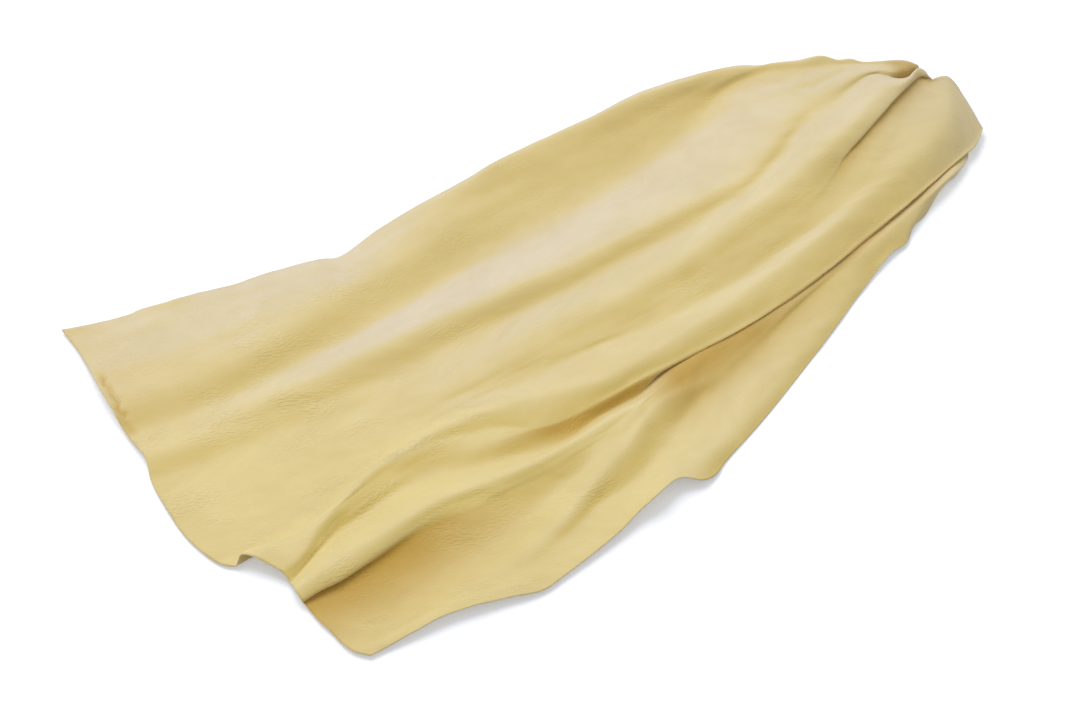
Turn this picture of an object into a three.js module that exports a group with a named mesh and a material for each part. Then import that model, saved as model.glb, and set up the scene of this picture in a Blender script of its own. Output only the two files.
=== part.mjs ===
// A chamois hide: one supple sheet of leather, drawn together into pleats at one end
// and lying fanned out at the other. The hide is lofted along its fold lines.
// Millimetres, +Z up, +X towards the gathered end, origin on the table under the middle of the hide.
import * as THREE from 'three';

// Driving dimensions
const hideThickness = 1.0;
const restCut = 0.5; // trimmed off the underside where the hide lies on the table
const gatherToThroat = 70; // lengths along the hide, from the pleated end to the fanned hem
const throatToShoulder = 90;
const shoulderToWaist = 120;
const waistToKnee = 120;
const kneeToApron = 120;
const apronToSkirt = 120;
const skirtToHem = 120;

// Facets along the hide, and across it between neighbouring fold lines
const alongFacetCount = 14;
const foldFacetCount = 2;

// Fold lines from the back edge to the front edge. Each holds, at eight stations along the hide,
// its place across the hide and its height above the table, then how far its end stands back
// from the outermost point of the hem.
// The fold under the lip turns back beneath the pleat that hangs over the front layer.
const foldLines = [
  // name     gather    throat    shoulder  waist     knee      apron     skirt     hem      set-back
  ['back edge', [66, 0], [125, 13], [163, 29], [175, 23], [173, 16], [164, 4], [196, 1], [216, 0], 19],
  ['back ridge', [60, 35], [118, 36], [150, 24], [146, 15], [145, 12], [125, 10], [110, 7], [127, 2], 14],
  ['back valley', [54, 34], [105, 33], [138, 17], [114, 6], [109, 3], [98, 1], [87, 0], [96, 0], 12],
  ['second ridge', [50, 31], [77, 34], [59, 30], [39, 22], [41, 17], [52, 12], [52, 8], [62, 4], 9],
  ['second valley', [46, 28], [68, 32], [43, 28], [19, 18], [21, 12], [31, 6], [31, 0], [46, 0], 6],
  ['crown ridge', [38, 40], [40, 41], [13, 35], [-7, 25], [-9, 16], [-14, 7], [2, 0], [13, 0], 2],
  ['crown lip', [33, 36], [27, 34], [-6, 28], [-25, 20], [-27, 12], [-22, 6], [-24, 0], [-28, 0], 0],
  ['crown valley', [28, 30], [10, 25], [-29, 21], [-49, 15], [-43, 9], [-32, 5], [-48, 0], [-67, 0], 10],
  ['hanging pleat', [16, 29], [-23, 24], [-43, 22], [-65, 18], [-75, 15], [-47, 10], [-56, 6], [-68, 10], 20],
  ['pleat lip', [-26, 16], [-47, 14], [-67, 14], [-89, 13], [-90, 10], [-79, 5], [-67, 2], [-93, 6], 37],
  ['fold under lip', [-15, 5], [-32, 5], [-50, 6], [-72, 6], [-87, 3], [-102, 1], [-76, 0], [-100, 2], 40],
  ['finger ridge', [-17, 0], [-31, 1], [-50, 2], [-74, 2], [-95, 1], [-116, 12], [-112, 14], [-113, 7], 38],
  ['finger lip', [-21, 1], [-37, 3], [-58, 4], [-82, 5], [-105, 7], [-128, 8], [-122, 9], [-122, 3], 36],
  ['finger valley', [-24, 4], [-42, 6], [-63, 7], [-88, 8], [-111, 9], [-139, 3], [-144, 0], [-141, 0], 39],
  ['front ridge', [-26, 6], [-47, 8], [-67, 9], [-94, 8], [-118, 9], [-163, 8], [-175, 1], [-155, 0], 41],
  ['front valley', [-28, 8], [-51, 8], [-74, 8], [-101, 6], [-135, 4], [-180, 3], [-179, 0], [-165, 0], 43],
  ['front rim', [-31, 8], [-54, 7], [-83, 5], [-128, 3], [-172, 4], [-194, 11], [-186, 5], [-176, 0], 45],
  ['front edge', [-34, 6], [-55, 1], [-88, 3], [-137, 0], [-182, 0], [-201, 11], [-192, 6], [-185, 0], 51],
];

// Distance of each station from the outermost point of the hem
const stationLengths = [
  0,
  skirtToHem,
  apronToSkirt,
  kneeToApron,
  waistToKnee,
  shoulderToWaist,
  throatToShoulder,
  gatherToThroat,
];
const stations = [];
let reach = 0;
for (const length of stationLengths) {
  reach += length;
  stations.unshift(reach);
}

// A smooth curve through the given points, as the given number of facets
function smoothPoints(points, facets) {
  return new THREE.CatmullRomCurve3(points, false, 'centripetal').getPoints(facets);
}

// One fold line, from the gathered end to the hem
function foldLinePoints([, ...sections]) {
  const setBack = sections.pop();
  const hemStation = sections.length - 1;
  const points = sections.map(([across, height], station) => {
    const along = stations[station] + (station === hemStation ? setBack : 0);
    return new THREE.Vector3(along, across, height);
  });
  return smoothPoints(points, alongFacetCount);
}

// The middle of the sheet as rows of points, each row running from the back edge to the front edge
function hideRows() {
  const lines = foldLines.map(foldLinePoints);
  const facetsAcross = foldFacetCount * (lines.length - 1);
  return lines[0].map((_, row) => {
    const points = smoothPoints(lines.map((line) => line[row]), facetsAcross);
    for (const point of points) {
      point.z = Math.max(point.z, 0);
    }
    return points;
  });
}

// Two triangles for each cell of the grid, facing up
function gridTriangles(rowCount, columnCount) {
  const triangles = [];
  for (let row = 0; row < rowCount - 1; row++) {
    for (let column = 0; column < columnCount - 1; column++) {
      const near = row * columnCount + column;
      const far = near + columnCount;
      triangles.push(near, far, near + 1, near + 1, far, far + 1);
    }
  }
  return triangles;
}

// The grid's outer points in order, once round the cut edge of the hide
function rimLoop(rowCount, columnCount) {
  const loop = [];
  const lastRow = (rowCount - 1) * columnCount;
  for (let column = 0; column < columnCount - 1; column++) {
    loop.push(column);
  }
  for (let row = 0; row < rowCount - 1; row++) {
    loop.push(row * columnCount + columnCount - 1);
  }
  for (let column = columnCount - 1; column > 0; column--) {
    loop.push(lastRow + column);
  }
  for (let row = rowCount - 1; row > 0; row--) {
    loop.push(row * columnCount);
  }
  return loop;
}

// The sheet thickened to both sides into one closed body, with its underside cut flat on the table
function hideGeometry() {
  const rows = hideRows();
  const columnCount = rows[0].length;
  const middle = new THREE.BufferGeometry().setFromPoints(rows.flat());
  const top = gridTriangles(rows.length, columnCount);
  middle.setIndex(top);
  middle.computeVertexNormals();

  const topSide = [];
  const underside = [];
  const normal = new THREE.Vector3();
  rows.flat().forEach((point, index) => {
    normal.fromBufferAttribute(middle.attributes.normal, index);
    topSide.push(point.clone().addScaledVector(normal, hideThickness - restCut));
    const below = point.clone().addScaledVector(normal, -restCut);
    below.z = Math.max(below.z, 0);
    underside.push(below);
  });

  const offset = topSide.length;
  const triangles = [...top];
  for (let corner = 0; corner < top.length; corner += 3) {
    triangles.push(top[corner] + offset, top[corner + 2] + offset, top[corner + 1] + offset);
  }
  const loop = rimLoop(rows.length, columnCount);
  loop.forEach((here, index) => {
    const next = loop[(index + 1) % loop.length];
    triangles.push(here, next, here + offset, next, next + offset, here + offset);
  });

  const geometry = new THREE.BufferGeometry().setFromPoints([...topSide, ...underside]);
  geometry.setIndex(triangles);
  geometry.computeBoundingBox();
  const centre = geometry.boundingBox.getCenter(new THREE.Vector3());
  geometry.translate(-centre.x, -centre.y, -geometry.boundingBox.min.z);
  geometry.computeVertexNormals();
  return geometry;
}

const chamois = new THREE.MeshStandardMaterial({ color: 0xe2cf9a, roughness: 0.9, metalness: 0 });

const hide = new THREE.Mesh(hideGeometry(), chamois);
hide.name = 'chamois_hide';

const chamoisLeather = new THREE.Group();
chamoisLeather.name = 'chamois_leather';
chamoisLeather.add(hide);

export default chamoisLeather;
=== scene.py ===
import math

import bpy
import numpy as np
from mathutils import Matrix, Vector


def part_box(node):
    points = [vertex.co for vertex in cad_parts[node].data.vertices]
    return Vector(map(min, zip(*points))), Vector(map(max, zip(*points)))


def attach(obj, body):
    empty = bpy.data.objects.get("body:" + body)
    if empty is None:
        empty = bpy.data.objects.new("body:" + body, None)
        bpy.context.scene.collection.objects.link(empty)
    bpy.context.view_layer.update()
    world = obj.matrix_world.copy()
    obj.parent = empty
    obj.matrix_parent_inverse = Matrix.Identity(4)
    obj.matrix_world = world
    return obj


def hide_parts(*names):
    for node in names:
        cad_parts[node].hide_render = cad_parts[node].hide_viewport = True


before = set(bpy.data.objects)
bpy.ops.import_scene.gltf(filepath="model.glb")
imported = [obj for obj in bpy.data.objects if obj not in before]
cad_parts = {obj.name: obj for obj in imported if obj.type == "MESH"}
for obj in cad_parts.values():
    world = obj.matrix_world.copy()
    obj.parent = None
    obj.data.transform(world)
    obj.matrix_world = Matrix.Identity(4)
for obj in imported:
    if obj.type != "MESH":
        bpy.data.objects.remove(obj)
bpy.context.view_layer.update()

hideLow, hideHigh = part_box("chamois_hide")
mm = 0.001
white = (1, 1, 1, 1)
backCorner = 216                    # mm from the middle line to the back corner of the hem
hemEnd = hideLow.x / mm             # outermost point of the fanned hem
middleLine = hideHigh.y / mm - backCorner


# The hide. Fold lines run from the gathered end to the hem, in mm:
# distance from the hem, place across the middle line (back is +), height of the sheet's middle.
foldLines = {
    "backEdge": [(754, 72, 1), (730, 98, 2), (704, 119, 7), (680, 132, 18), (655, 142, 27),
                 (635, 153, 30), (551, 174, 27), (496, 174, 24.5), (402, 176, 19.5), (361, 173, 16.5),
                 (320, 173, 13), (278, 170, 9), (236, 164, 4.5), (223, 172, 3.5), (171, 185, 2.5),
                 (154, 187, 2), (128, 195, 1.5), (98, 200, 1.5), (78, 205, 1), (71, 205, 0.5),
                 (18, 217, 0.5)],
    "backRim": [(756, 66, 22), (732, 90, 24), (706, 112, 27), (682, 127, 30), (655, 139, 31),
                (610, 157, 29.5), (586, 161, 29), (547, 169, 27), (493, 170, 24.5), (398, 171, 19.5),
                (357, 167, 17), (316, 166, 13.5), (230, 154, 6.5), (215, 159, 6), (162, 170, 4.5),
                (145, 171, 4), (119, 178, 3.5), (69, 189, 2.5), (41, 195, 2), (18, 189, 1.5)],
    "backRidge": [(757, 57, 36), (752, 68, 37), (722, 90, 35.5), (716, 98, 36.5), (707, 103, 36),
                  (698, 115, 37), (678, 124, 34.5), (654, 138, 32), (593, 151, 23.5), (526, 148, 17),
                  (440, 144, 14.5), (402, 147, 13.5), (360, 145, 13), (272, 127, 11), (233, 125, 10),
                  (193, 120, 9.5), (116, 109, 7.5), (50, 114, 6.5), (10, 122, 7)],
    "backValley": [(757, 55, 34.5), (746, 68, 36), (732, 78, 35.5), (712, 94, 34.5), (667, 120, 31.5),
                   (649, 132, 29), (628, 140, 24), (604, 140, 18.5), (579, 129, 14), (498, 110, 8),
                   (411, 103, 5), (328, 96, 4), (285, 90, 3), (134, 81, 1), (98, 79, 1), (8, 86, 2.5)],
    "secondRidge": [(757, 55, 31.5), (754, 58, 32), (736, 65, 34), (727, 71, 35.5), (710, 77, 36),
                    (692, 77, 35), (659, 78, 33), (625, 70, 31.5), (583, 51, 29), (546, 38, 26),
                    (526, 39, 24.5), (445, 40, 21), (366, 40, 18), (332, 45, 16.5), (295, 47, 15),
                    (260, 51, 13.5), (224, 52, 12), (190, 55, 10.5), (154, 54, 9), (122, 58, 8),
                    (73, 60, 6), (52, 56, 5.5), (8, 58, 4.5)],
    "secondValley": [(754, 50, 24), (753, 54, 14), (748, 57, 8), (742, 60, 14), (735, 63, 29),
                     (727, 67, 33), (719, 73, 34), (688, 68, 33), (665, 59, 32), (641, 60, 31),
                     (580, 34, 27), (539, 23, 23.5), (512, 22, 21), (490, 19, 19.5), (411, 21, 15),
                     (371, 20, 13), (335, 23, 11), (262, 26, 8), (154, 26, 3), (121, 29, 2), (54, 30, 1),
                     (2, 37, 0.5)],
    "crownRidge": [(753, 47, 40.5), (749, 49, 42), (734, 43, 41.5), (721, 41, 41.5), (707, 43, 41.5),
                   (637, 20, 38), (586, 10, 34), (536, 0, 30), (515, 0, 28), (490, -6, 26), (469, -8, 24),
                   (446, -11, 22.5), (427, -10, 20.5), (386, -13, 18), (351, -8, 15.5), (313, -8, 13),
                   (273, -13, 10), (236, -14, 7.5), (147, 0, 3), (98, 3, 2), (-1, 13, 0.5)],
    "crownLip": [(754, 40, 37.5), (748, 44, 38), (735, 41, 39), (631, 6, 31.5), (620, 2, 30),
                 (583, -13, 27.5), (552, -19, 25.5), (497, -23, 22), (412, -30, 15.5), (374, -30, 13.5),
                 (339, -24, 12), (302, -24, 10), (231, -21, 6), (195, -21, 5), (161, -20, 3.5),
                 (116, -24, 2.5), (68, -33, 1.5), (35, -34, 1), (-2, -28, 0.5)],
    "crownTuck": [(756, 38, 34.5), (751, 44, 35.5), (737, 43, 37), (710, 34, 35.5), (695, 30, 34.5),
                  (678, 23, 33.5), (648, 13, 31), (630, 4, 29.5), (615, -5, 27), (574, -24, 24),
                  (446, -38, 16), (407, -37, 13.5), (368, -37, 11.5), (298, -30, 8.5), (262, -29, 7),
                  (227, -27, 6), (154, -32, 4.5), (60, -48, 2.5), (33, -52, 1.5), (6, -60, 0.5)],
    "crownValley": [(756, 38, 34), (746, 37, 34), (710, 20, 30.5), (666, -5, 27), (638, -18, 26),
                    (608, -28, 23), (580, -35, 21.5), (544, -41, 18.5), (477, -49, 15), (380, -47, 10.5),
                    (347, -41, 9), (273, -39, 7), (241, -33, 6.5), (167, -38, 5.5), (97, -55, 4.5),
                    (67, -63, 4), (13, -67, 1.5)],
    "hangingPleat": [(774, 36, 30), (754, 11, 28.5), (735, -6, 27), (695, -22, 25), (607, -42, 22.5),
                     (555, -53, 21), (419, -72, 17), (340, -75, 14.5), (322, -75, 14), (246, -53, 12.5),
                     (196, -44, 10.5), (165, -46, 9.5), (150, -47, 9.5), (125, -53, 9.5), (112, -59, 9),
                     (84, -66, 8.5), (69, -68, 7), (39, -65, 6.5), (28, -64, 8.5), (19, -67, 10)],
    "pleatBrow": [(773, -9, 8.5), (767, -15, 8.5), (736, -29, 11), (638, -55, 14.5), (589, -65, 14),
                  (559, -72, 13.5), (492, -83, 13), (437, -87, 12), (387, -87, 12), (349, -86, 10.5),
                  (330, -87, 9.5), (312, -86, 9), (276, -86, 7.5), (253, -80, 6.5), (234, -67, 7.5),
                  (214, -61, 7.5), (190, -55, 8.5), (172, -54, 8.5), (137, -58, 7.5), (83, -72, 8.5),
                  (49, -90, 7), (34, -92, 7)],
    "pleatLip": [(771, -14, 7.5), (748, -29, 8.5), (734, -33, 10), (636, -59, 13.5), (587, -69, 12.5),
                 (557, -76, 12.5), (490, -87, 11.5), (436, -91, 11), (348, -90, 9.5), (311, -90, 7.5),
                 (275, -89, 6.5), (252, -83, 5.5), (228, -78, 6), (185, -64, 6), (168, -62, 5.5),
                 (101, -73, 5), (92, -74, 5), (49, -94, 4.5), (36, -98, 4.5)],
    "foldUnderLip": [(758, 8, 6), (700, -18, 9), (530, -57, 9.5), (400, -75, 7), (345, -95, 2.5),
                     (327, -95, 2), (306, -96, 2), (276, -102, 2.5), (249, -100, 2), (234, -95, 2),
                     (221, -93, 2.5), (197, -86, 3), (176, -77, 3), (160, -76, 3), (146, -75, 3),
                     (94, -81, 2), (69, -88, 2), (36, -104, 2.5)],
    "fingerRidge": [(759, 2, 5), (700, -25, 7.5), (630, -44, 9), (530, -65, 8.5), (400, -84, 7.5),
                    (358, -101, 8.5), (340, -107, 10), (311, -109, 12), (240, -113, 12),
                    (175, -107, 13.5), (159, -104, 13.5), (106, -109, 14.5), (55, -112, 11),
                    (34, -115, 7.5)],
    "fingerLip": [(759, -2, 5.5), (700, -30, 8.5), (530, -71, 10), (400, -92, 9.5), (347, -106, 10),
                  (330, -111, 11.5), (289, -119, 11), (271, -119, 11), (201, -119, 10), (154, -112, 11),
                  (99, -120, 10.5), (65, -123, 8), (49, -122, 6.5), (34, -123, 5)],
    "fingerTuck": [(759, -5, 6), (700, -34, 9.5), (630, -53, 11), (530, -75, 10.5), (345, -108, 10),
                   (328, -114, 11.5), (303, -121, 11), (268, -124, 9), (248, -127, 7.5), (198, -123, 7.5),
                   (180, -124, 7.5), (149, -119, 7.5), (82, -121, 6), (50, -120, 3), (35, -123, 1.5)],
    "fingerValley": [(758, -8, 6), (700, -38, 10), (630, -57, 11.5), (530, -80, 10.5), (450, -95, 9.5),
                     (400, -105, 8), (344, -112, 10), (326, -120, 11), (302, -128, 10.5), (286, -129, 10),
                     (260, -135, 6), (221, -141, 2.5), (200, -146, 2.5), (162, -151, 2.5), (127, -152, 2),
                     (75, -157, 1), (36, -142, 1)],
    "frontRidge": [(757, -10, 6.5), (700, -42, 10.5), (630, -60, 11), (530, -84, 10), (450, -102, 7.5),
                   (400, -114, 6), (342, -119, 10), (299, -139, 11), (261, -152, 9), (193, -174, 5),
                   (111, -177, 4.5), (75, -170, 3), (38, -156, 0.5)],
    "frontValley": [(752, -12, 5.5), (736, -34, 6), (693, -51, 11.5), (658, -60, 11), (588, -77, 10),
                    (489, -97, 6.5), (447, -112, 4.5), (398, -125, 3), (376, -127, 2.5), (350, -137, 2),
                    (293, -163, 3.5), (255, -167, 3.5), (231, -175, 3.5), (176, -186, 4.5),
                    (109, -181, 5.5), (74, -179, 3.5), (39, -167, 0.5)],
    "frontRim": [(749, -15, 4), (733, -35, 4.5), (701, -49, 8.5), (669, -60, 7.5), (628, -76, 6.5),
                 (589, -86, 5.5), (509, -117, 3.5), (463, -135, 3.5), (426, -151, 3.5), (398, -160, 4),
                 (372, -169, 4), (329, -179, 7.5), (314, -177, 10), (294, -180, 10.5), (242, -190, 5),
                 (183, -200, 4), (158, -194, 6), (130, -187, 7), (99, -184, 7), (75, -183, 5),
                 (42, -178, 1)],
    "frontEdge": [(746, -19, 2.5), (735, -32, 2), (712, -44, 3), (696, -46, 2), (680, -55, 1.5),
                  (660, -65, 1), (642, -71, 2), (623, -83, 3), (605, -86, 4), (548, -108, 1),
                  (505, -127, 0.5), (404, -168, 0.5), (355, -185, 1), (340, -192, 2.5), (328, -193, 6),
                  (311, -186, 12), (288, -191, 14), (270, -193, 10), (249, -198, 6.5), (196, -206, 4),
                  (176, -208, 4), (147, -200, 7), (110, -191, 8.5), (84, -189, 6.5), (49, -187, 1)],
}
foldNames = list(foldLines)

hide = {
    "thickness": 1.0,               # mm, as are the other lengths here
    "rowsAlong": 360,
    "stepsPerFold": 13,
    "lineSamples": 800,             # fine steps in which each fold line is measured
    "restHeight": 0.55,             # lowest the sheet's middle may lie
    "wrinkle": 0.4,                 # height of the shallow drag wrinkles
    "wrinkleWaves": [               # share of that height, length along the hide, width across it
        (0.8, 70, 11),
        (1.2, 55, 34),
        (0.35, 16, 9),
    ],
    "edgeWave": 0.4,                # how far the cut edge waves up and down
    "edgeWaveLength": 13,
    "edgeWaveSlant": (0.6, 0.4),    # turns the waves off the hide's length and width
    "edgeWaveRise": 0.4,            # the edge waves more up than down
    "edgeWaveReach": 7,             # how far in from the edge the waves fade
    "hemLift": 2.3,                 # how far the hem curls up off the table
    "hemLiftReach": 11,
    "paleRidgeTurn": 0.03,             # turn per mm of a ridge that is painted fully pale
    "paleRidgeRounds": 6,              # rounds of smoothing for the pale ridges
    "seed": 11,
}

# Small creases pressed into the sheet: depth and half width in mm, strength of the painted shade
# laid there as a darker tone, then points (distance from the hem, across). A depth below 0 raises the
# sheet.
creases = [
    (2.6, 1.9, 0.7, [(21, 150), (17, 143), (19, 134), (16, 124), (17, 117), (13, 110), (15, 104)]),
    (0.5, 5.0, 0.5, [(14, 104), (12, 97), (12, 88)]),
    (-1.8, 5.0, 0.0, [(11, 150), (7, 128), (4, 108)]),
    # a broad darker patch over the back corner of the hem, with no crease
    (0.0, 40.0, 0.14, [(22, 205), (18, 150), (12, 110)]),
    (0.8, 4.0, 0.0, [(658, 96), (669, 90), (686, 90), (701, 90)]),
    (1.2, 5.0, 0.0, [(602, 121), (598, 119)]),
    (-0.7, 7.0, 0.0, [(30, 150), (54, 146), (74, 143), (110, 141), (150, 140)]),
    (0.5, 3.0, 0.0, [(560, 92), (520, 84), (470, 80)]),
    (0.5, 3.5, 0.0, [(330, 66), (280, 62), (225, 66)]),
]

# Folds beside which shade is painted as a darker tone: where it starts, is full, stays full and ends
# (mm from the hem), strength, and how far the painted shade spreads in front of the fold and behind it, in
# mm.
shadedFolds = [
    ("fingerTuck", 15, 30, 120, 230, 1.0, 42, 3),
    ("crownTuck", 600, 650, 750, 775, 0.8, 9, 3),
    ("fingerLip", 335, 372, 455, 560, 1.0, 30, 15),
    ("pleatLip", 215, 270, 345, 375, 0.9, 13, 2),
    ("pleatLip", 350, 400, 690, 740, 0.8, 9, 1.5),
    ("foldUnderLip", 440, 500, 690, 735, 1.0, 11, 4),
    ("frontRidge", 400, 460, 690, 735, 0.6, 5, 4),
    ("secondValley", 732, 742, 760, 790, 1.0, 6, 36),
]


def knotSteps(points, axis, least):
    # centripetal spacing: the root of the distance between neighbours, never quite nothing
    gaps = np.linalg.norm(np.diff(points, axis=axis), axis=-1)
    return np.maximum(gaps ** 0.5, least)


def spanPoint(p, t, at):
    # the point at time `at` between p[1] and p[2], with the knots t
    a1 = (t[1] - at) / (t[1] - t[0]) * p[0] + (at - t[0]) / (t[1] - t[0]) * p[1]
    a2 = (t[2] - at) / (t[2] - t[1]) * p[1] + (at - t[1]) / (t[2] - t[1]) * p[2]
    a3 = (t[3] - at) / (t[3] - t[2]) * p[2] + (at - t[2]) / (t[3] - t[2]) * p[3]
    b1 = (t[2] - at) / (t[2] - t[0]) * a1 + (at - t[0]) / (t[2] - t[0]) * a2
    b2 = (t[3] - at) / (t[3] - t[1]) * a2 + (at - t[1]) / (t[3] - t[1]) * a3
    return (t[2] - at) / (t[2] - t[1]) * b1 + (at - t[1]) / (t[2] - t[1]) * b2


def curvePoints(points, shares):
    # Catmull-Rom curve through the points, at shares of its run from 0 to 1
    points = np.asarray(points, float)
    steps = knotSteps(points, axis=0, least=1e-4)
    knots = np.concatenate([[0], np.cumsum(steps)])
    padded = np.vstack([2 * points[0] - points[1], points, 2 * points[-1] - points[-2]])
    times = np.concatenate([[-steps[0]], knots, [knots[-1] + steps[-1]]])
    at = np.asarray(shares) * knots[-1]
    first = np.clip(np.searchsorted(knots, at, side="right") - 1, 0, len(points) - 2)
    corners = [padded[first + k] for k in range(4)]
    cornerTimes = [times[first + k][:, None] for k in range(4)]
    return spanPoint(corners, cornerTimes, at[:, None])


def evenAlong(points, rows):
    # a fold line at even steps of its distance from the hem
    fine = curvePoints(points, np.linspace(0, 1, hide["lineSamples"]))
    count = np.arange(len(fine))
    leastFall = 1e-6                # keeps the distance falling where the line turns back
    along = np.minimum.accumulate(fine[:, 0]) - count * leastFall
    target = np.linspace(along[0], along[-1], rows)
    index = np.interp(-target, -along, count)
    return np.stack([np.interp(index, count, fine[:, k]) for k in range(3)], axis=1)


def loftSheet(lines, rows, stepsPerFold):
    guides = np.stack([evenAlong(line, rows) for line in lines], axis=1)
    before = 2 * guides[:, :1] - guides[:, 1:2]
    after = 2 * guides[:, -1:] - guides[:, -2:-1]
    padded = np.concatenate([before, guides, after], axis=1)
    steps = knotSteps(padded, axis=1, least=1e-2)
    columns = []
    for fold in range(len(lines) - 1):
        corners = [padded[:, fold + k] for k in range(4)]
        times = [np.zeros((rows, 1))]
        for k in range(3):
            times.append(times[k] + steps[:, fold + k, None])
        for share in np.arange(stepsPerFold) / stepsPerFold:
            columns.append(spanPoint(corners, times, times[1] + share * (times[2] - times[1])))
    columns.append(guides[:, -1])
    return np.stack(columns, axis=1)


def sheetNormals(grid):
    normals = np.cross(np.gradient(grid, axis=0), np.gradient(grid, axis=1))
    lengths = np.linalg.norm(normals, axis=2, keepdims=True)
    return normals / np.maximum(lengths, 1e-9)


def runLength(grid, axis):
    # distance along the sheet from its first row or column, mm
    steps = np.linalg.norm(np.diff(grid, axis=axis), axis=2)
    start = np.zeros_like(np.take(steps, [0], axis=axis))
    return np.cumsum(np.concatenate([start, steps], axis=axis), axis=axis)


def edgeDistance(along, across):
    # mm from the nearest cut edge, measured on the sheet
    sides = [along - along[:1], along[-1:] - along, across - across[:, :1], across[:, -1:] - across]
    return np.min(sides, axis=0)


def easeInOut(share):
    return share * share * (3 - 2 * share)


def softNoise(u, v, seed):
    # smooth random waves from -1 to 1, about one per unit of u and v
    cells = 128                     # cells before the waves repeat
    lattice = np.random.RandomState(seed).uniform(-1, 1, (cells, cells))
    cellU = np.floor(u).astype(int)
    cellV = np.floor(v).astype(int)
    shareU = easeInOut(u - cellU)
    shareV = easeInOut(v - cellV)
    sides = []
    for side in (cellV % cells, (cellV + 1) % cells):
        start = lattice[cellU % cells, side]
        end = lattice[(cellU + 1) % cells, side]
        sides.append(start * (1 - shareU) + end * shareU)
    return sides[0] * (1 - shareV) + sides[1] * shareV


def nearLine(grid, line, halfWidth):
    # 1 on a line of (distance from the hem, across) points, fading to 0 beside it
    places = grid[:, :, :2]
    nearest = np.full(places.shape[:2], np.inf)
    for start, end in zip(np.array(line[:-1], float), np.array(line[1:], float)):
        run = end - start
        share = np.clip(((places - start) @ run) / (run @ run), 0, 1)
        away = np.linalg.norm(places - start - share[:, :, None] * run, axis=2)
        nearest = np.minimum(nearest, away)
    return np.exp(-(nearest / halfWidth) ** 2)


def pressCreases(grid):
    normals = sheetNormals(grid)
    for depth, halfWidth, _, line in creases:
        dent = depth * nearLine(grid, line, halfWidth)
        grid = grid - normals * dent[:, :, None]
    return grid


def paintedCreaseShade(grid, across):
    # how much shade is painted as a darker tone beside the folds and in the creases, from 0 to 1
    shade = np.zeros(grid.shape[:2])
    for name, start, full, last, end, strength, front, back in shadedFolds:
        column = foldNames.index(name) * hide["stepsPerFold"]
        ahead = across - across[:, column:column + 1]
        fade = np.exp(-(ahead / np.where(ahead >= 0, front, back)) ** 2)
        reach = np.interp(grid[:, column, 0], [start, full, last, end], [0, 1, 1, 0])
        shade = np.maximum(shade, strength * reach[:, None] * fade)
    for _, halfWidth, strength, line in creases:
        shade = np.maximum(shade, strength * nearLine(grid, line, halfWidth))
    return shade


def ridgeWearAndHighlight(grid, across):
    # 1 on sharp ridges, 0 on level leather and in valleys: ridges turn paler, as wear and as painted
    # highlight
    leastGap = 0.2                  # mm between columns, where folds crowd together
    turn = np.gradient(sheetNormals(grid)[:, :, 1], axis=1)
    turn = turn / np.maximum(np.gradient(across, axis=1), leastGap)
    for _ in range(hide["paleRidgeRounds"]):
        turn[:, 1:-1] = (turn[:, :-2] + 2 * turn[:, 1:-1] + turn[:, 2:]) / 4
        turn[1:-1] = (turn[:-2] + 2 * turn[1:-1] + turn[2:]) / 4
    return np.clip(-turn / hide["paleRidgeTurn"], 0, 1)


def roughenSheet(grid, along, across):
    # drag wrinkles, a waved cut edge and the curl of the hem
    wrinkle = np.zeros(grid.shape[:2])
    for number, (share, length, width) in enumerate(hide["wrinkleWaves"]):
        wrinkle += share * softNoise(along / length, across / width, hide["seed"] + number)
    grid = grid + sheetNormals(grid) * (hide["wrinkle"] * wrinkle)[:, :, None]
    slantAcross, slantAlong = hide["edgeWaveSlant"]
    u = (along + slantAcross * across) / hide["edgeWaveLength"]
    v = (across - slantAlong * along) / hide["edgeWaveLength"]
    wave = softNoise(u, v, hide["seed"] + len(hide["wrinkleWaves"])) + hide["edgeWaveRise"]
    fade = np.exp(-edgeDistance(along, across) / hide["edgeWaveReach"])
    grid[:, :, 2] += hide["edgeWave"] * wave * fade
    grid[:, :, 2] += hide["hemLift"] * np.exp(-(along[-1:] - along) / hide["hemLiftReach"])
    grid[:, :, 2] = np.maximum(grid[:, :, 2], hide["restHeight"])
    return grid


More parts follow.
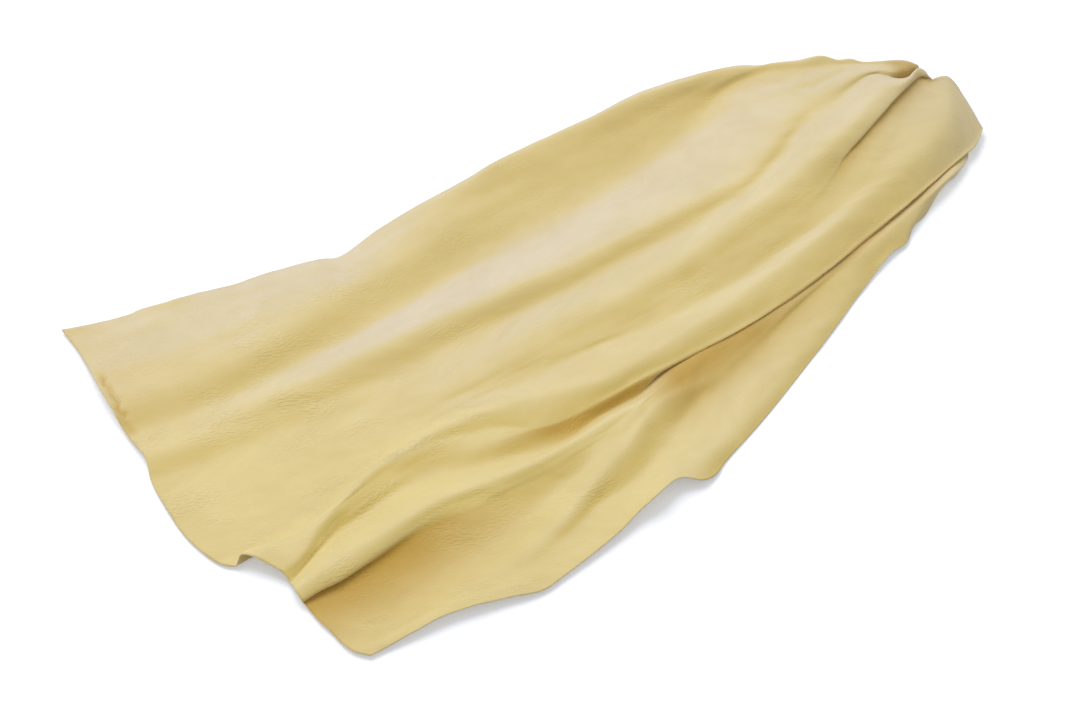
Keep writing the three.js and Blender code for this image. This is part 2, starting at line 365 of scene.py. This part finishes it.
def buildHide():
    grid = loftSheet(foldLines.values(), hide["rowsAlong"], hide["stepsPerFold"])
    along = runLength(grid, 0)
    across = runLength(grid, 1)
    # painted into the colour: shade beside folds and creases, and paler ridges for wear and painted
    # highlight
    marks = {"paintedCreaseShade": paintedCreaseShade(grid, across), "ridgeWearAndHighlight": ridgeWearAndHighlight(grid, across)}
    grid = roughenSheet(pressCreases(grid), along, across)

    rows, columns = grid.shape[:2]
    points = (grid + np.array([hemEnd, middleLine, 0])) * mm
    index = np.arange(rows * columns).reshape(rows, columns)
    corners = [index[:-1, :-1], index[1:, :-1], index[1:, 1:], index[:-1, 1:]]
    faces = np.stack(corners, axis=-1).reshape(-1, 4)
    mesh = bpy.data.meshes.new("chamoisSheet")
    mesh.from_pydata(points.reshape(-1, 3).tolist(), [], faces.tolist())
    mesh.polygons.foreach_set("use_smooth", np.ones(len(faces), bool))
    flat = np.stack([along, across], axis=-1).reshape(-1, 2) * mm
    mesh.uv_layers.new(name="hideFlat").data.foreach_set("uv", flat[faces.ravel()].ravel())
    for name, values in marks.items():
        mesh.attributes.new(name, "FLOAT", "POINT").data.foreach_set("value", values.ravel())

    piece = bpy.data.objects.new("chamoisSheet", mesh)
    bpy.context.collection.objects.link(piece)
    solid = piece.modifiers.new("thickness", "SOLIDIFY")
    solid.thickness = hide["thickness"] * mm
    solid.offset = 0
    solid.use_even_offset = False
    solid.material_offset = 1       # flesh side
    solid.material_offset_rim = 2   # cut edge
    widths = [round(float(across[row, -1])) for row in (0, rows // 2, -1)]
    print("hide: width on the sheet at gather, middle and hem (mm):", widths)
    area = sum(face.area for face in mesh.polygons)
    print("hide: sheet area %.4f m2, length %.3f m" % (area, along[-1].max() * mm))
    return piece


# Colours of the hide. A range holds two limits, then the values there. Limits on the flat hide are
# in metres from the gathered end or from the back edge.
leather = {
    "shadedSlope": (0.695, 0.53, 0.185, 1),      # painted shade: slopes that face the front, away from the light
    "level": (0.735, 0.595, 0.275, 1),
    "litSlope": (0.715, 0.615, 0.445, 1),        # painted light: slopes that face back towards the light show paler
    "bellyShadedSlope": (0.72, 0.552, 0.16, 1),     # the same three towards the yellower front edge
    "bellyLevel": (0.775, 0.633, 0.31, 1),
    "bellyLitSlope": (0.75, 0.612, 0.25, 1),
    "lightLean": (0.0, 0.8, 0.6),                 # direction of the light by which slopes are painted lit or shaded
    "slopeLightStops": (0.28, 0.58, 0.74),             # share of that direction at the three colours
    "bellyAcross": (0.13, 0.31, 0.0, 1.0),      # from the back edge: where the belly colour begins
    "bellyAlong": (0.2, 0.6, 0.45, 1.0),        # it is weaker at the gathered end
    "bellyAtHem": (0.45, 0.75, 0.0, 0.115),     # and begins further back at both ends
    "bellyAtGather": (0.08, 0.6, 0.14, 0.0),
    "gathered": (0.69, 0.59, 0.39, 1),          # greyer where the pleats are drawn together
    "gatheredAlong": (0.0, 0.16, 0.5, 0.0),
    "mottling": [                               # patches per metre, detail, roughness, strength, two tints
        ((16, 22), 3.0, 0.5, 0.4, (0.94, 0.925, 0.88, 1), (1.06, 1.07, 1.10, 1)),
        ((75, 95), 4.0, 0.65, 0.25, (0.96, 0.945, 0.90, 1), (1.04, 1.05, 1.09, 1)),
    ],
    "mottlingRange": (0.35, 0.65),
    "ribHighlight": (1.02, 1.02, 1.03, 1),           # painted highlight: crepe ribs are coloured a little lighter where they catch light
    "paintedShadeTint": (0.75, 0.59, 0.25, 1),              # painted shade: darker tint in deep creases and under overhanging folds
    "wornAndLit": (0.79, 0.67, 0.37, 1),            # sharp ridges paler: fibres worn pale, and painted highlight
    "wornAndLitStrength": 0.18,
    "flesh": (0.72, 0.53, 0.18, 1),
    "fleshShade": (0.90, 0.88, 0.82, 1),
    "fleshPatches": (30, 40),                   # per metre along and across
    "fleshDepth": 1.4,                          # the crepe is deeper on this side
    "cutEdge": (0.86, 0.72, 0.42, 1),
    "cutEdgeShade": (0.86, 0.84, 0.78, 1),
    "cutEdgeFibres": (900, 900),
    "shadeRange": (0.3, 0.7),                   # for the flesh side and the cut edge
    "roughness": 0.9,
    "specular": 0.2,
    "sheen": 0.35,
    "sheenRoughness": 0.6,
}

crepe = {
    "ribHeight": 0.0002,                        # m
    "ribs": (230, 560),                         # per metre along and across
    "ribTurn": 0.12,                            # radians off the hide's length
    "ribRange": (0.38, 0.66),
    "patches": (22, 30),
    "patchRange": (0.42, 0.70, 0.15, 1.0),
    "alongRange": (0.4, 0.72, 0.7, 1.6),        # ribs are deeper towards the hem
    "napHeight": 0.00009,                       # m
    "nap": (1500, 1900),
}


def newNode(tree, kind, **inputs):
    node = tree.nodes.new("ShaderNode" + kind)
    for name, value in inputs.items():
        node.inputs[name.replace("_", " ")].default_value = value
    return node


def feed(tree, socket, value):
    # a socket takes a link from another node or a fixed value
    if isinstance(value, bpy.types.NodeSocket):
        tree.links.new(value, socket)
    else:
        socket.default_value = value


def blend(tree, mode, factor, first, second):
    node = newNode(tree, "Mix")
    node.data_type = "RGBA"
    node.blend_type = mode
    feed(tree, node.inputs["Factor"], factor)
    feed(tree, node.inputs[6], first)           # 6 and 7 are the node's two colours
    feed(tree, node.inputs[7], second)
    return node.outputs[2]


def arithmetic(tree, kind, first, second):
    node = newNode(tree, "Math")
    node.operation = kind
    feed(tree, node.inputs[0], first)
    feed(tree, node.inputs[1], second)
    return node.outputs[0]


def noise(tree, flat, perMetre, turn=0.0, detail=2.0, roughness=0.5):
    # noise on the flat hide, with its own count per metre along and across
    place = newNode(tree, "Mapping")
    place.inputs["Rotation"].default_value = (0, 0, turn)
    place.inputs["Scale"].default_value = (perMetre[0], perMetre[1], 1)
    tree.links.new(flat, place.inputs["Vector"])
    node = newNode(tree, "TexNoise", Scale=1.0, Detail=detail, Roughness=roughness)
    tree.links.new(place.outputs["Vector"], node.inputs["Vector"])
    return node.outputs["Fac"]


def spread(tree, value, low, high, least=0.0, most=1.0):
    node = newNode(tree, "MapRange", From_Min=low, From_Max=high, To_Min=least, To_Max=most)
    node.interpolation_type = "SMOOTHSTEP"
    tree.links.new(value, node.inputs["Value"])
    return node.outputs["Result"]


def mark(tree, name):
    # a value kept at the sheet's points
    node = newNode(tree, "Attribute")
    node.attribute_name = name
    return node.outputs["Fac"]


def newSuede(name):
    material = bpy.data.materials.new(name)
    material.use_nodes = True
    tree = material.node_tree
    shader = tree.nodes["Principled BSDF"]
    shader.inputs["Roughness"].default_value = leather["roughness"]
    shader.inputs["Specular IOR Level"].default_value = leather["specular"]
    shader.inputs["Sheen Weight"].default_value = leather["sheen"]
    shader.inputs["Sheen Roughness"].default_value = leather["sheenRoughness"]
    shader.inputs["Sheen Tint"].default_value = white
    place = newNode(tree, "UVMap")
    place.uv_map = "hideFlat"
    print("leather:", name)
    return material, tree, shader, place.outputs["UV"]


def flatPlace(tree, flat):
    # metres from the gathered end, and from the back edge
    split = newNode(tree, "SeparateXYZ")
    tree.links.new(flat, split.inputs["Vector"])
    return split.outputs["X"], split.outputs["Y"]


def crepeBump(tree, flat, along, shader, depth):
    # broken ribs a couple of millimetres apart in patches, over a fine nap
    ribs = spread(tree, noise(tree, flat, crepe["ribs"], turn=crepe["ribTurn"], detail=1.0),
                  *crepe["ribRange"])
    patches = spread(tree, noise(tree, flat, crepe["patches"]), *crepe["patchRange"])
    patches = arithmetic(tree, "MULTIPLY", patches, spread(tree, along, *crepe["alongRange"]))
    height = arithmetic(tree, "MULTIPLY", ribs, patches)
    coarse = newNode(tree, "Bump", Strength=1.0, Distance=crepe["ribHeight"] * depth)
    tree.links.new(height, coarse.inputs["Height"])
    fine = newNode(tree, "Bump", Strength=1.0, Distance=crepe["napHeight"] * depth)
    nap = noise(tree, flat, crepe["nap"], detail=3.0, roughness=0.7)
    tree.links.new(nap, fine.inputs["Height"])
    tree.links.new(coarse.outputs["Normal"], fine.inputs["Normal"])
    tree.links.new(fine.outputs["Normal"], shader.inputs["Normal"])
    return height


def slopeLightRamp(tree, towardLight, names):
    # painted light and shade: three colours by how far a slope turns towards the light
    node = newNode(tree, "ValToRGB")
    ramp = node.color_ramp
    ramp.interpolation = "B_SPLINE"
    shadedAt, level, litAt = leather["slopeLightStops"]
    ramp.elements[0].position = shadedAt
    ramp.elements[1].position = litAt
    ramp.elements.new(level)
    for element, name in zip(ramp.elements, names):
        element.color = leather[name]
    tree.links.new(towardLight, node.inputs["Fac"])
    return node.outputs["Color"]


def bellyShare(tree, along, across):
    # 0 at the back edge to 1 on the yellower leather towards the front edge
    shifts = [spread(tree, along, *leather[name]) for name in ("bellyAtHem", "bellyAtGather")]
    fromBack = arithmetic(tree, "ADD", across, arithmetic(tree, "ADD", *shifts))
    belly = spread(tree, fromBack, *leather["bellyAcross"])
    return arithmetic(tree, "MULTIPLY", belly, spread(tree, along, *leather["bellyAlong"]))


def grainSide():
    material, tree, shader, flat = newSuede("chamoisSuede")
    along, across = flatPlace(tree, flat)
    slope = newNode(tree, "TexCoord")
    towardLight = newNode(tree, "VectorMath")
    towardLight.operation = "DOT_PRODUCT"
    tree.links.new(slope.outputs["Normal"], towardLight.inputs[0])
    towardLight.inputs[1].default_value = leather["lightLean"]
    # painted light and shade: slopes facing the light are coloured paler, slopes facing the front darker
    back = slopeLightRamp(tree, towardLight.outputs["Value"], ("shadedSlope", "level", "litSlope"))
    belly = slopeLightRamp(tree, towardLight.outputs["Value"], ("bellyShadedSlope", "bellyLevel", "bellyLitSlope"))
    colour = blend(tree, "MIX", bellyShare(tree, along, across), back, belly)
    gathered = spread(tree, along, *leather["gatheredAlong"])
    colour = blend(tree, "MIX", gathered, colour, leather["gathered"])
    for perMetre, detail, roughness, strength, darker, lighter in leather["mottling"]:
        patches = noise(tree, flat, perMetre, detail=detail, roughness=roughness)
        tint = blend(tree, "MIX", spread(tree, patches, *leather["mottlingRange"]), darker, lighter)
        colour = blend(tree, "MULTIPLY", strength, colour, tint)
    ribs = crepeBump(tree, flat, along, shader, depth=1.0)
    # painted highlight on the crepe ribs
    colour = blend(tree, "MULTIPLY", ribs, colour, leather["ribHighlight"])
    # sharp ridges paler: worn fibres and painted highlight
    wornAndLit = arithmetic(tree, "MULTIPLY", mark(tree, "ridgeWearAndHighlight"), leather["wornAndLitStrength"])
    colour = blend(tree, "MIX", wornAndLit, colour, leather["wornAndLit"])
    # painted shade: creases and the leather under overhanging folds are tinted darker
    colour = blend(tree, "MULTIPLY", mark(tree, "paintedCreaseShade"), colour, leather["paintedShadeTint"])
    tree.links.new(colour, shader.inputs["Base Color"])
    return material


def fleshSide():
    material, tree, shader, flat = newSuede("chamoisFlesh")
    along, _ = flatPlace(tree, flat)
    cloudy = spread(tree, noise(tree, flat, leather["fleshPatches"], detail=4.0), *leather["shadeRange"])
    colour = blend(tree, "MULTIPLY", cloudy, leather["flesh"], leather["fleshShade"])
    tree.links.new(colour, shader.inputs["Base Color"])
    crepeBump(tree, flat, along, shader, leather["fleshDepth"])
    return material


def cutEdge():
    material, tree, shader, flat = newSuede("chamoisCutEdge")
    fibres = spread(tree, noise(tree, flat, leather["cutEdgeFibres"]), *leather["shadeRange"])
    colour = blend(tree, "MULTIPLY", fibres, leather["cutEdge"], leather["cutEdgeShade"])
    tree.links.new(colour, shader.inputs["Base Color"])
    return material


table = {
    "colour": (0.77, 0.80, 0.87, 1),
    "size": 8.0,                                # m
    "cameraLift": 0.34,                         # glow that only the camera and reflections see
}


def buildTable():
    half = table["size"] / 2
    corners = [(-half, -half, 0), (half, -half, 0), (half, half, 0), (-half, half, 0)]
    mesh = bpy.data.meshes.new("tableTop")
    mesh.from_pydata(corners, [], [(0, 1, 2, 3)])
    piece = bpy.data.objects.new("tableTop", mesh)
    bpy.context.collection.objects.link(piece)
    material = bpy.data.materials.new("paleTable")
    material.use_nodes = True
    tree = material.node_tree
    shader = tree.nodes["Principled BSDF"]
    shader.inputs["Base Color"].default_value = table["colour"]
    shader.inputs["Roughness"].default_value = 1.0
    shader.inputs["Specular IOR Level"].default_value = 0.0
    shader.inputs["Emission Color"].default_value = white
    # seen by the camera the table is lifted to white, and keeps the hide's shadow
    path = newNode(tree, "LightPath")
    seen = arithmetic(tree, "MAXIMUM", path.outputs["Is Camera Ray"], path.outputs["Is Glossy Ray"])
    lift = arithmetic(tree, "MULTIPLY", seen, table["cameraLift"])
    tree.links.new(lift, shader.inputs["Emission Strength"])
    mesh.materials.append(material)
    print("table: %g m square" % table["size"])


light = {
    "world": 0.5,
    "key": 75.4,                                # W
    "keySize": 2.25,                            # m
    "keyPlace": (-0.15, 1.72, 3.0),             # m
}


def buildLight():
    world = bpy.data.worlds.new("studio")
    bpy.context.scene.world = world
    world.use_nodes = True
    background = world.node_tree.nodes["Background"]
    background.inputs["Color"].default_value = white
    background.inputs["Strength"].default_value = light["world"]
    lamp = bpy.data.lights.new("softKey", "AREA")
    lamp.energy = light["key"]
    lamp.size = light["keySize"]
    key = bpy.data.objects.new("softKey", lamp)
    key.location = light["keyPlace"]
    key.rotation_euler = (-Vector(light["keyPlace"])).to_track_quat("-Z", "Y").to_euler()
    bpy.context.collection.objects.link(key)
    print("light: soft key of %g W" % light["key"])


view = {
    "azimuth": -35,                             # degrees
    "elevation": 45,
    "distance": 1.61,                           # m
    "lens": 70,                                 # mm
    "sensor": 36,
    "aim": (305, -20, 0),                       # mm from the hem, the middle line and the table
}


def buildCamera():
    azimuth = math.radians(view["azimuth"])
    elevation = math.radians(view["elevation"])
    level = math.cos(elevation)
    back = Vector((math.sin(azimuth) * level, -math.cos(azimuth) * level, math.sin(elevation)))
    aimX, aimY, aimZ = view["aim"]
    aim = Vector((hemEnd + aimX, middleLine + aimY, aimZ)) * mm
    lens = bpy.data.cameras.new("view")
    lens.lens = view["lens"]
    lens.sensor_width = view["sensor"]
    camera = bpy.data.objects.new("view", lens)
    camera.location = aim + back * view["distance"]
    camera.rotation_euler = (-back).to_track_quat("-Z", "Y").to_euler()
    bpy.context.collection.objects.link(camera)
    bpy.context.scene.camera = camera
    print("view: azimuth %g, elevation %g" % (view["azimuth"], view["elevation"]))


bpy.context.scene.view_settings.view_transform = "Standard"
buildCamera()
buildLight()
buildTable()

sheet = buildHide()
for material in (grainSide(), fleshSide(), cutEdge()):
    sheet.data.materials.append(material)
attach(sheet, "root")
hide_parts("chamois_hide")
